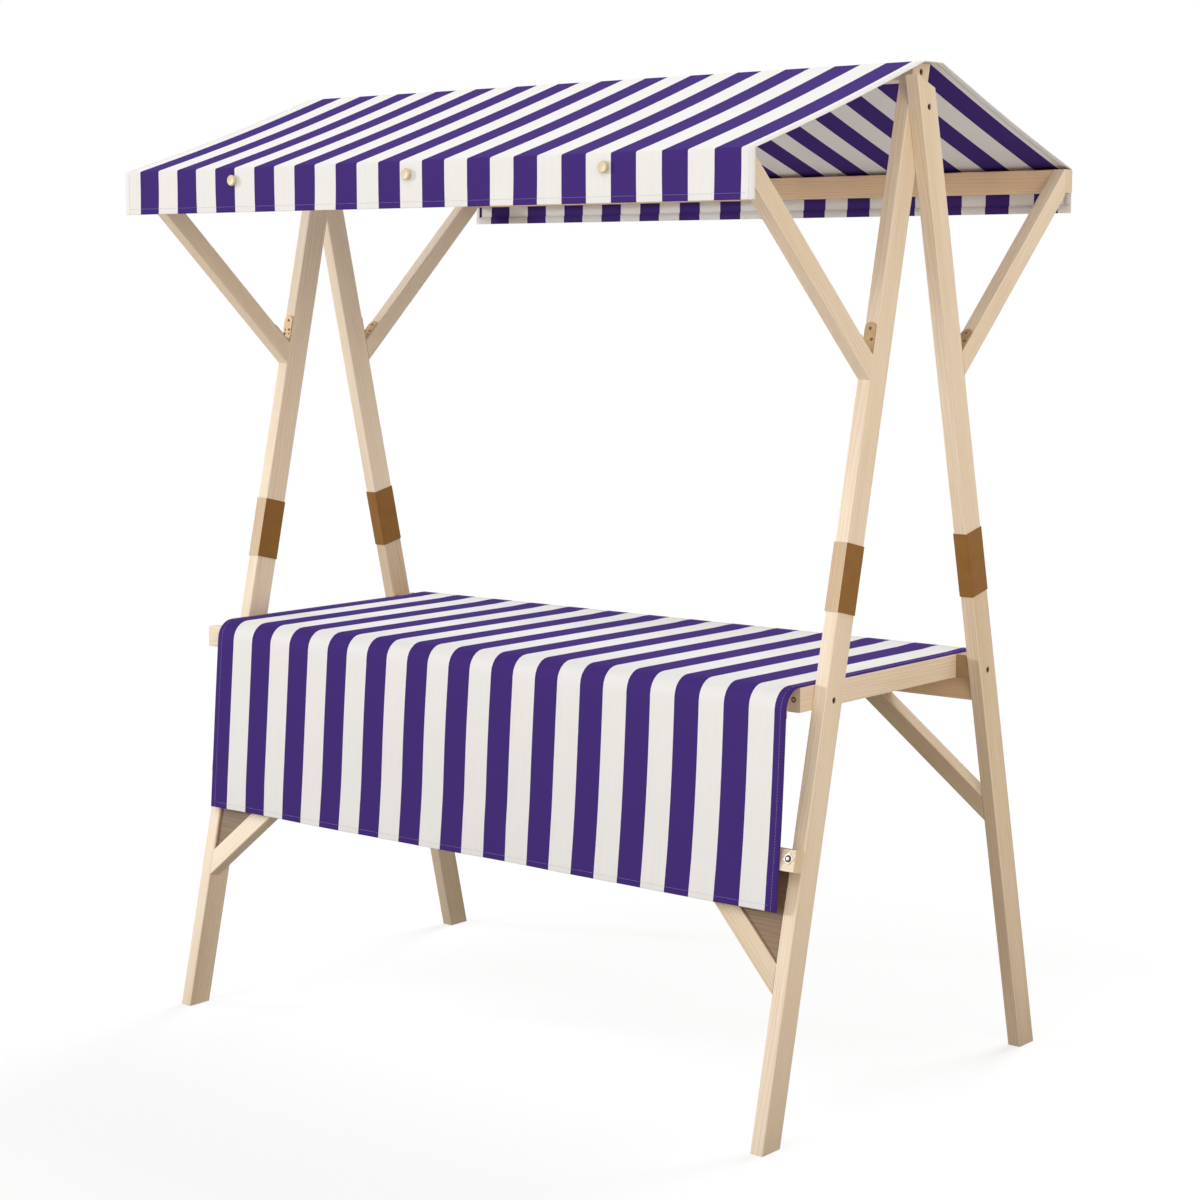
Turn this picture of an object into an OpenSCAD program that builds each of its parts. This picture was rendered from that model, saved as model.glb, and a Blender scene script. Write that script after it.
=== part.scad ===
// Portable market stall: two A-frame ends, striped canopy, cloth-covered counter.
// Millimetres, +Z up, X along the counter, -Y towards the customer, origin on the ground.

/* [Overall] */
// length over the rear legs
overall_length = 1830; // [1200:10:2600]
// depth over the feet
foot_spread = 1060; // [800:10:1400]
// top of the ridge beam above the ground
ridge_height = 2236; // [1900:2:2500]
// how far the roof falls from the ridge beam to the eave rails
roof_fall = 202; // [120:2:320]
// depth over the eave rails
eave_depth = 1244; // [1000:2:1700]
// rounding of the long edges of the timbers
edge_ease = 2.5; // [1:0.5:5]

/* [Legs] */
// leg thickness along X
leg_thick = 32; // [24:1:50]
// leg depth across the lean
leg_depth = 63; // [45:1:90]
// how far below the ridge the two legs of an end cross
cross_drop = 93; // [70:1:140]
// how far below the ridge the rear legs stop, on their axis
rear_leg_drop = 41; // [30:1:60]
// height of the middle of the leg sleeves
sleeve_height = 1164; // [1040:2:1400]
// length of a leg sleeve
sleeve_length = 146; // [80:2:220]
// wall of a leg sleeve and of its plate
sleeve_wall = 1.6; // [1:0.2:4]

/* [Roof frame] */
// height of the ridge beam
ridge_beam_height = 37; // [30:1:60]
// rail stock thickness
rail_thick = 32; // [24:1:50]
// rail stock height
rail_height = 53; // [40:1:80]
// how far below the eave the struts leave the legs
strut_drop = 407; // [300:1:500]
// depth of a strut
strut_depth = 45; // [32:1:50]
// length of one strap leaf
strap_length = 70; // [40:1:100]
// width of a strap
strap_width = 27; // [16:1:32]
// thickness of a strap
strap_thick = 3; // [2:0.5:5]
// diameter of the strap's screw holes
screw_dia = 5; // [3:0.5:6]

/* [Canopy] */
// cloth thickness, thicker than woven cloth
cloth_thick = 2; // [1.5:0.5:4]
// how far the cloth lies flat past the legs at the ridge
ridge_spare = 1; // [0.5:0.5:10]
// drop of the canopy valance below the eave
valance_drop = 98; // [60:1:200]
// spacing of the canopy buttons
button_pitch = 542; // [300:1:800]
// diameter of a canopy button
button_dia = 25; // [16:1:40]
// thickness of a canopy button
button_thick = 9; // [5:0.5:12]
// depth of the hollow in a button's face
button_dish = 1.5; // [0.5:0.5:3]
// diameter of a button's shank
shank_dia = 8; // [5:0.5:12]
// how far a button's shank goes into the eave rail
shank_length = 18; // [10:1:24]

/* [Counter] */
// height of the counter top below the cloth
table_height = 949; // [800:1:1050]
// how far the end rails run past the leg bolts in front
rail_past_front = 78; // [60:1:180]
// how far the end rails run past the leg bolts at the back
rail_past_back = 51; // [36:1:160]
// how far below the counter top the leg bolts are
bolt_drop = 33; // [20:1:40]
// thickness of the counter board
board_thick = 18; // [12:1:30]
// rounding of the counter front
nose_radius = 45; // [31:1:60]
// how far the counter board runs past the end rails in front, before the rounding
nose_start = 2; // [1:1:40]
// height of the batten under the front of the counter
front_batten_height = 50; // [30:1:54]
// how far the front batten runs past the left front leg
front_batten_past = 22; // [0:1:60]
// how far the ends of the counter cloth lie inside the front legs
cloth_inset = 3; // [1:1:20]
// how far the counter cloth hangs below the counter top
cloth_drop = 462; // [300:1:600]
// height of the lower front rail, measured up the leg
lower_rail_height = 46; // [32:1:70]
// underside of the lower front rail below the counter top, at the legs
lower_rail_drop = 380; // [300:1:450]
// how far the left end of the lower front rail stops short of the leg's outer side
lower_rail_short = 15; // [0:1:20]

/* [Braces] */
// depth of a knee brace
brace_depth = 46; // [30:1:70]
// angle of a knee brace above the horizontal
brace_angle = 43; // [35:1:55]
// where the lower edge of a front brace meets the leg, below the lower rail
front_brace_drop = 250; // [180:1:300]
// where the lower edge of a rear brace meets the leg, below the rear rail
rear_brace_drop = 285; // [220:1:340]
// thickness of the gusset boards between the front braces and legs
gusset_thick = 12; // [6:1:18]
// how far the gusset boards lie behind the front of the legs
gusset_set = 6; // [3:1:10]

/* [Bolts] */
// diameter of the bolt holes
bolt_dia = 8; // [6:0.5:12]
// diameter of the bolt head recess
recess_dia = 14; // [12.5:0.5:20]
// depth of the bolt head recess
recess_depth = 10; // [5:0.5:16]
// how far a bolt runs into the end of a rail or beam
bolt_length = 60; // [40:1:90]

/* [Hidden] */
$fn = 48;
past = 1;
half = overall_length / 2;
cross_z = ridge_height - cross_drop;
lean0 = atan((foot_spread / 2 - leg_depth / 2) / cross_z);
lean = atan((foot_spread / 2 - leg_depth / (2 * cos(lean0))) / cross_z);
half_y = leg_depth / (2 * cos(lean));
foot_end = -cross_z / cos(lean) - leg_depth;
split = (sleeve_height - cross_z) / cos(lean);
top_end = cross_drop / cos(lean) + leg_depth;
rear_top = ridge_height - rear_leg_drop;
rear_in = half - leg_thick;
front_out = rear_in;
front_in = front_out - leg_thick;
eave_height = ridge_height - roof_fall;
eave_y = eave_depth / 2;
rail_in = eave_y - rail_thick;
eave_mid = eave_height - rail_height / 2;
strut_z = eave_height - strut_drop;
strut_y = leg_face(strut_z);
strut_angle = atan(strut_drop / (rail_in + strut_y));
strut_mid = eave_height - strut_depth / (2 * cos(strut_angle));
strut_reach = strut_drop / sin(strut_angle);
ridge_mid = ridge_height - ridge_beam_height / 2;
ridge_y = leg_axis(ridge_mid);
ridge_front = min(ridge_y - leg_depth / 2, leg_axis(ridge_height) - half_y) - ridge_spare;
ridge_back = max(ridge_y + leg_depth / 2, leg_axis(ridge_height) + half_y) + ridge_spare;
front_fall = atan(roof_fall / (eave_y + ridge_front));
back_fall = atan(roof_fall / (eave_y - ridge_back));
rail_low = table_height - rail_height;
rail_mid = table_height - rail_height / 2;
board_low = table_height - board_thick;
bolt_z = table_height - bolt_drop;
end_in = front_in - rail_thick;
end_front = leg_axis(bolt_z) - rail_past_front;
end_back = -leg_axis(bolt_z) + rail_past_back;
rear_rail_y = -leg_axis(rail_low - rail_height / 2);
rear_rail_low = rail_low - rail_height;
batten_height = rail_height - board_thick;
batten_mid = rail_low + batten_height / 2;
nose_y = end_front - nose_start;
nose_z = table_height - nose_radius;
lower_rail_z = table_height - lower_rail_drop;
lower_corner = [leg_face(lower_rail_z) - rail_thick * cos(lean), lower_rail_z + rail_thick * sin(lean)];
drop_slope = (nose_y - nose_radius - lower_corner[0]) / (nose_z - lower_corner[1]);
hem_height = table_height - cloth_drop;
front_brace_z = lower_rail_z - front_brace_drop;
rear_brace_z = rear_rail_low - rear_brace_drop;
brace_rise = brace_depth / cos(brace_angle);
brace_reach = 2 * max(front_brace_drop, rear_brace_drop);
front_brace_top = front_brace_drop / cos(lean) + lower_rail_height;

// the leg's axis and its outer face at a height, for a front leg
function leg_axis(z) = (z - cross_z) * tan(lean);
function leg_face(z) = leg_axis(z) - half_y;

module left() { mirror([1, 0, 0]) children(); }
module rear() { mirror([0, 1, 0]) children(); }
module pine() { color([0.86, 0.76, 0.62]) children(); }

// a box from its low corner to its high corner
module box(low, high) { translate(low) cube(high - low); }

// a side profile given as [y, z] points, extruded along X
module side(x0, x1, points) {
  translate([x0, 0, 0]) rotate([90, 0, 90]) linear_extrude(x1 - x0) polygon(points);
}

// a round bar or hole along X with its axis at y, z
module round_x(x0, x1, y, z, dia) {
  translate([x0, y, z]) rotate([0, 90, 0]) cylinder(d = dia, h = x1 - x0);
}

// the section of a planed timber: a rectangle with eased corners
module eased(wide, high) {
  square([wide - 2 * edge_ease, high], center = true);
  square([wide, high - 2 * edge_ease], center = true);
  for (x = [-1, 1], y = [-1, 1])
    translate([x * (wide / 2 - edge_ease), y * (high / 2 - edge_ease)]) circle(r = edge_ease);
}

// a planed timber along X with the middle of its section at y, z
module timber_x(x0, x1, y, z, wide, high) {
  translate([x0, y, z]) rotate([90, 0, 90]) linear_extrude(x1 - x0) eased(wide, high);
}

// a planed timber along Y with the middle of its section at x, z
module timber_y(y0, y1, x, z, wide, high) {
  translate([x, y0, z]) rotate([-90, 0, 0]) linear_extrude(y1 - y0) eased(wide, high);
}

// LEGS: a timber leaning in the YZ plane, between two distances up its axis from the crossing bolt;
// rear legs are drawn in a front leg's place and turned over by the caller
module leg_stick(x0, from, to) {
  translate([x0 + leg_thick / 2, 0, cross_z]) rotate([-lean, 0, 0]) translate([0, 0, from])
    linear_extrude(to - from) eased(leg_thick, leg_depth);
}

// a bolt hole through a leg, with a recess for the bolt head in the outer face
module leg_bolt(x0, z) {
  round_x(x0 - past, x0 + leg_thick + past, leg_axis(z), z, bolt_dia);
  round_x(x0 + leg_thick - recess_depth, x0 + leg_thick + past, leg_axis(z), z, recess_dia);
}

// the lower half: cut level at the foot, and square to its axis in the middle of the sleeve
module leg_lower(x0) {
  pine() difference() {
    leg_stick(x0, foot_end, split);
    box([x0 - past, -foot_spread, -2 * leg_depth], [x0 + leg_thick + past, foot_spread, 0]);
    leg_bolt(x0, bolt_z);
  }
}

// the upper half of a front leg: its top is level with the ridge beam that is bolted to it
module front_leg_upper(x0) {
  pine() difference() {
    leg_stick(x0, split, top_end);
    box([x0 - past, -foot_spread, ridge_height], [x0 + leg_thick + past, foot_spread, ridge_height + top_end]);
    leg_bolt(x0, ridge_mid);
    round_x(x0 - past, x0 + leg_thick + past, 0, cross_z, bolt_dia);
  }
}

// the upper half of a rear leg: its top is bevelled along the rear slope of the roof, below the cloth
module rear_leg_upper(x0) {
  pine() difference() {
    leg_stick(x0, split, top_end);
    translate([0, leg_axis(rear_top), rear_top]) rotate([back_fall, 0, 0])
      box([x0 - past, -foot_spread, 0], [x0 + leg_thick + past, foot_spread, top_end + leg_depth]);
    leg_bolt(x0, cross_z);
  }
}

module right_front_leg_lower() { leg_lower(front_in); }
module right_front_leg_upper() { front_leg_upper(front_in); }
module right_rear_leg_lower() { rear() leg_lower(rear_in); }
module right_rear_leg_upper() { rear() rear_leg_upper(rear_in); }
module left_front_leg_lower() { left() right_front_leg_lower(); }
module left_front_leg_upper() { left() right_front_leg_upper(); }
module left_rear_leg_lower() { left() right_rear_leg_lower(); }
module left_rear_leg_upper() { left() right_rear_leg_upper(); }

// SLEEVES: a brown channel round the joint of the two leg halves, open on the leg's outer side,
// where a tan plate lies between its edges
module at_sleeve(x0) {
  translate([x0 + leg_thick / 2, leg_axis(sleeve_height), sleeve_height]) rotate([-lean, 0, 0])
    translate([0, 0, -sleeve_length / 2]) linear_extrude(sleeve_length) children();
}
module sleeve(x0) {
  color([0.49, 0.33, 0.16]) at_sleeve(x0) difference() {
    eased(leg_thick + 2 * sleeve_wall, leg_depth + 2 * sleeve_wall);
    translate([-leg_thick / 2, -leg_depth]) square([leg_thick, 1.5 * leg_depth]);
  }
}
module plate(x0) {
  color([0.78, 0.66, 0.52]) at_sleeve(x0)
    translate([-leg_thick / 2, -leg_depth / 2 - sleeve_wall]) square([leg_thick, sleeve_wall]);
}
module right_front_sleeve() { sleeve(front_in); }
module right_rear_sleeve() { rear() sleeve(rear_in); }
module left_front_sleeve() { left() right_front_sleeve(); }
module left_rear_sleeve() { left() right_rear_sleeve(); }
module right_front_plate() { plate(front_in); }
module right_rear_plate() { rear() plate(rear_in); }
module left_front_plate() { left() right_front_plate(); }
module left_rear_plate() { left() right_rear_plate(); }

// ROOF FRAME: the ridge beam lies flat between the tops of the front legs, bolted through them
module ridge_beam() {
  pine() difference() {
    timber_x(-front_in, front_in, ridge_y, ridge_mid, leg_depth, ridge_beam_height);
    round_x(-front_in - past, -front_in + bolt_length, ridge_y, ridge_mid, bolt_dia);
    round_x(front_in - bolt_length, front_in + past, ridge_y, ridge_mid, bolt_dia);
  }
}

// an eave rail as long as its struts are apart, with a blind hole for the shank of each button
module eave_rail(end) {
  pine() difference() {
    timber_x(-end, end, -eave_y + rail_thick / 2, eave_mid, rail_thick, rail_height);
    for (i = [-1:1]) translate([i * button_pitch, -eave_y - past, eave_mid])
      rotate([-90, 0, 0]) cylinder(d = shank_dia, h = shank_length + 2 * past);
  }
}
module front_eave_rail() { eave_rail(front_out); }
module rear_eave_rail() { rear() eave_rail(half); }

// a strut from the leg's face up to the inner face of the eave rail, cut to lie flat on both
module strut(x0) {
  low = strut_z - 2 * rail_height;
  pine() intersection() {
    translate([x0 + leg_thick / 2, -rail_in, strut_mid]) rotate([-strut_angle - 90, 0, 0])
      translate([0, 0, -rail_height]) linear_extrude(strut_reach + 2 * rail_height)
        eased(leg_thick, strut_depth);
    side(x0 - past, x0 + leg_thick + past, [
      [-rail_in, low], [leg_face(low), low], [leg_face(eave_height), eave_height], [-rail_in, eave_height]]);
  }
}
module right_front_strut() { strut(front_in); }
module right_rear_strut() { rear() strut(rear_in); }
module left_front_strut() { left() right_front_strut(); }
module left_rear_strut() { left() right_rear_strut(); }

// a corner strap: one round-ended leaf up the leg, one out along the strut, screw holes through both
module leaf() {
  tip = strap_length - strap_width / 2;
  linear_extrude(strap_thick) difference() {
    union() {
      translate([-strap_width / 2, 0]) square([strap_width, tip]);
      translate([0, tip]) circle(d = strap_width);
    }
    translate([0, tip]) circle(d = screw_dia);
    for (s = [-1, 1]) translate([s * strap_width / 4, tip / 2 + s * screw_dia]) circle(d = screw_dia);
  }
}
module strap(x0) {
  color([0.66, 0.49, 0.3]) translate([x0 + leg_thick / 2, strut_y, strut_z]) {
    rotate([90 - lean, 0, 0]) leaf();
    rotate([180 - strut_angle, 0, 0]) translate([0, 0, -strap_thick]) leaf();
  }
}
module right_front_strap() { strap(front_in); }
module right_rear_strap() { rear() strap(rear_in); }
module left_front_strap() { left() right_front_strap(); }
module left_rear_strap() { left() right_rear_strap(); }

// COUNTER FRAME: end rails on the inner faces of the front legs, a bolt hole in each front end
module right_end_rail() {
  mid = (end_in + front_in) / 2;
  pine() difference() {
    timber_y(end_front, end_back, mid, rail_mid, rail_thick, rail_height);
    translate([mid, end_front - past, rail_mid]) rotate([-90, 0, 0])
      cylinder(d = bolt_dia, h = bolt_length + past);
  }
}
module left_end_rail() { left() right_end_rail(); }

// a spacer fills the width of the front leg between an end rail and a rear leg
module right_spacer() {
  pine() timber_y(-leg_axis(bolt_z) - leg_depth / 2, -leg_axis(bolt_z) + leg_depth / 2,
                  front_in + leg_thick / 2, rail_mid, leg_thick, rail_height);
}
module left_spacer() { left() right_spacer(); }

// the rear rail carries both end rails and the spacers
module rear_table_rail() {
  pine() timber_x(-rear_in, rear_in, rear_rail_y, rear_rail_low + rail_height / 2, rail_thick, rail_height);
}

// the front batten lies under the front of the board, before the end rails, and runs out on the left
module front_table_batten() {
  pine() timber_x(-front_out - front_batten_past, end_in, end_front - rail_thick / 2,
                  board_low - front_batten_height / 2, rail_thick, front_batten_height);
}
module rear_table_batten() {
  pine() timber_x(-end_in, end_in, rear_rail_y, batten_mid, rail_thick, batten_height);
}

// the board lies between the end rails and has a rounded front
module counter_board() {
  pine() {
    box([-end_in, nose_y, board_low], [end_in, end_back, table_height]);
    intersection() {
      round_x(-end_in, end_in, nose_y, nose_z, 2 * nose_radius);
      box([-end_in, nose_y - nose_radius, board_low], [end_in, nose_y + past, table_height]);
    }
  }
}

// the lower rail lies on the slanted front faces of the front legs
module front_lower_rail() {
  pine() translate([0, leg_face(lower_rail_z), lower_rail_z]) rotate([-lean, 0, 0])
    timber_x(-front_out + lower_rail_short, front_out,
             -rail_thick / 2, lower_rail_height / 2, rail_thick, lower_rail_height);
}

// KNEE BRACES: in the plane of the leg, front face flush with the leg's front face
module brace_bar(x0) {
  translate([x0, brace_rise / 2, -leg_thick / 2]) rotate([0, 0, 180 - brace_angle]) rotate([90, 0, 90])
    translate([0, 0, -brace_depth]) linear_extrude(brace_reach + brace_depth) eased(brace_depth, leg_thick);
}

// a front brace laps behind the lower rail and stops level with its top
module at_front_brace() {
  translate([0, leg_face(front_brace_z), front_brace_z]) rotate([90 - lean, 0, 0]) children();
}
module right_front_brace() {
  pine() at_front_brace() intersection() {
    brace_bar(front_in);
    box([0, -brace_depth, -leg_thick - past], [front_in, front_brace_top, past]);
  }
}
module left_front_brace() { left() right_front_brace(); }

// a rear brace stops under the rear rail
module right_rear_brace() {
  pine() intersection() {
    translate([0, -leg_axis(rear_brace_z) - half_y, rear_brace_z]) rotate([90 + lean, 0, 0])
      brace_bar(rear_in);
    box([0, 0, 0], [rear_in, foot_spread, rear_rail_low]);
  }
}
module left_rear_brace() { left() right_rear_brace(); }

// GUSSETS: a board closes the corner between each front brace and its leg, set back from their fronts
module gusset() {
  reach = (front_brace_top - brace_rise) / tan(brace_angle);
  at_front_brace() translate([0, 0, -gusset_set - gusset_thick]) linear_extrude(gusset_thick) polygon([
    [front_in, brace_rise], [front_in, front_brace_top], [front_in - reach, front_brace_top]]);
}
module front_gussets() {
  color([0.66, 0.54, 0.42]) {
    gusset();
    left() gusset();
  }
}

// CANOPY: one cloth over the ridge and both slopes, with a valance outside each eave rail
module canopy_cloth() {
  t = cloth_thick;
  low = eave_height - valance_drop;
  front_corner = eave_height + t * (1 - sin(front_fall)) / cos(front_fall);
  back_corner = eave_height + t * (1 - sin(back_fall)) / cos(back_fall);
  color([0.29, 0.18, 0.5]) difference() {
    side(-half, half, [
      [-eave_y - t, low], [-eave_y, low], [-eave_y, eave_height],
      [ridge_front, ridge_height], [ridge_back, ridge_height],
      [eave_y, eave_height], [eave_y, low], [eave_y + t, low],
      [eave_y + t, back_corner],
      [ridge_back + t * tan(back_fall / 2), ridge_height + t],
      [ridge_front - t * tan(front_fall / 2), ridge_height + t],
      [-eave_y - t, front_corner]]);
    for (i = [-1:1]) translate([i * button_pitch, -eave_y - t - past, eave_mid])
      rotate([-90, 0, 0]) cylinder(d = shank_dia, h = eave_depth + 2 * (t + past));
  }
}

// a turned button: a dished head with a round edge, on a shank through the valance into the rail
module button() {
  radius = button_dia / 2;
  ball = (radius * radius + button_dish * button_dish) / (2 * button_dish);
  difference() {
    rotate_extrude() intersection() {
      union() {
        square([radius - button_thick / 2, button_thick]);
        translate([radius - button_thick / 2, button_thick / 2]) circle(d = button_thick);
      }
      square([radius, button_thick]);
    }
    translate([0, 0, button_thick + ball - button_dish]) sphere(r = ball);
  }
  translate([0, 0, -cloth_thick - shank_length]) cylinder(d = shank_dia, h = cloth_thick + shank_length + past);
}
module front_buttons() {
  color([0.83, 0.7, 0.5]) for (i = [-1:1])
    translate([i * button_pitch, -eave_y - cloth_thick, eave_mid]) rotate([90, 0, 0]) button();
}
module rear_buttons() { rear() front_buttons(); }

// COUNTER CLOTH: flat on the board, round over its front, then down past the lower rail to the hem
module counter_cloth() {
  t = cloth_thick;
  r = nose_radius;
  x = front_in - cloth_inset;
  hem_y = nose_y - r - drop_slope * (nose_z - hem_height);
  color([0.33, 0.22, 0.54]) {
    box([-x, nose_y, table_height], [x, end_back, table_height + t]);
    difference() {
      intersection() {
        round_x(-x, x, nose_y, nose_z, 2 * (r + t));
        box([-x, nose_y - 2 * r, nose_z], [x, nose_y, nose_z + 2 * r]);
      }
      round_x(-x - past, x + past, nose_y, nose_z, 2 * r);
    }
    side(-x, x, [[nose_y - r, nose_z], [nose_y - r - t, nose_z], [hem_y - t, hem_height], [hem_y, hem_height]]);
  }
}

right_front_leg_lower();
right_front_leg_upper();
right_rear_leg_lower();
right_rear_leg_upper();
left_front_leg_lower();
left_front_leg_upper();
left_rear_leg_lower();
left_rear_leg_upper();
right_front_sleeve();
right_rear_sleeve();
left_front_sleeve();
left_rear_sleeve();
right_front_plate();
right_rear_plate();
left_front_plate();
left_rear_plate();
ridge_beam();
front_eave_rail();
rear_eave_rail();
right_front_strut();
right_rear_strut();
left_front_strut();
left_rear_strut();
right_front_strap();
right_rear_strap();
left_front_strap();
left_rear_strap();
right_end_rail();
left_end_rail();
right_spacer();
left_spacer();
rear_table_rail();
front_table_batten();
rear_table_batten();
counter_board();
front_lower_rail();
right_front_brace();
left_front_brace();
right_rear_brace();
left_rear_brace();
front_gussets();
canopy_cloth();
front_buttons();
rear_buttons();
counter_cloth();
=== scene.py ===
# Portable market stall: two pine A-frame ends, a striped canopy and a counter under a striped cloth.
# Metres, +Z up, X along the counter, -Y towards the customer.
import math
import random

import bpy
import numpy as np
from mathutils import Matrix, Vector


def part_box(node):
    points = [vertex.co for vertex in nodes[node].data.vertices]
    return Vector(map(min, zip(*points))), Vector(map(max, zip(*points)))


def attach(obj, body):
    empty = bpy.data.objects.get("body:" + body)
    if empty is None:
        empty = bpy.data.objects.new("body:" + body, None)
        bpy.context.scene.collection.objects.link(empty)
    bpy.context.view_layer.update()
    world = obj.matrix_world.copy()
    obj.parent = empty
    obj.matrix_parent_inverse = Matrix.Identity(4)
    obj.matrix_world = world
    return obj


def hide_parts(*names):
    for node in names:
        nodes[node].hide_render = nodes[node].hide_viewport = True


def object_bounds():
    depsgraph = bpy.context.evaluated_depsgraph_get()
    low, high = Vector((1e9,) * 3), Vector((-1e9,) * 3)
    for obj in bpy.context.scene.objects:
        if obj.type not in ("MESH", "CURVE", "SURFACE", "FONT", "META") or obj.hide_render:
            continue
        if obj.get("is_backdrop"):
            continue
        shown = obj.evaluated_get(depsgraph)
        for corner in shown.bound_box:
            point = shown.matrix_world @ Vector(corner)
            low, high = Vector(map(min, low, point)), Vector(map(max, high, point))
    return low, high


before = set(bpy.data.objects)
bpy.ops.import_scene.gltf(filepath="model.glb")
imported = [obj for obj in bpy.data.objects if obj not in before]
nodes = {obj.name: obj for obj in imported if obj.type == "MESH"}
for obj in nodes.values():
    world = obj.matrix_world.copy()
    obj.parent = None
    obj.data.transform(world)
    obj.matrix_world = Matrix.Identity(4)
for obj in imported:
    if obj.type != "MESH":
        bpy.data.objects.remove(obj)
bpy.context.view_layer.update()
bpy.ops.object.select_all(action="DESELECT")

# LEGS
# Each leg is two lengths of planed pine, 32 by 63 mm with eased edges, end to end inside a sleeve.
# The wood is new and bare: pale, with close straight grain, darker on the cut ends.
SIDES = ("right", "left")
ROWS = ("front", "rear")
CORNERS = [side + "_" + row for side in SIDES for row in ROWS]


def linear(code):
    """An sRGB hex colour as linear RGBA."""
    parts = [int(code[i:i + 2], 16) / 255 for i in (1, 3, 5)]
    return [p / 12.92 if p <= 0.04045 else ((p + 0.055) / 1.055) ** 2.4 for p in parts] + [1.0]


def put(tree, kind, inputs, **settings):
    """Adds one shader node: inputs holds socket values, or the sockets that feed them."""
    made = tree.nodes.new("ShaderNode" + kind)
    for key, value in settings.items():
        setattr(made, key, value)
    for key, value in inputs.items():
        if isinstance(value, bpy.types.NodeSocket):
            tree.links.new(value, made.inputs[key])
        else:
            made.inputs[key].default_value = value
    return made


def new_material(name, **sockets):
    """A material with its constant shader values set; returns it, its node tree and its shader."""
    material = bpy.data.materials.new(name)
    material.use_nodes = True
    shader = material.node_tree.nodes["Principled BSDF"]
    for key, value in sockets.items():
        shader.inputs[key.replace("_", " ")].default_value = value
    return material, material.node_tree, shader


def bands(period):
    """The Wave texture's scale for bands that repeat after so many metres."""
    return math.tau / 20 / period


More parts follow.
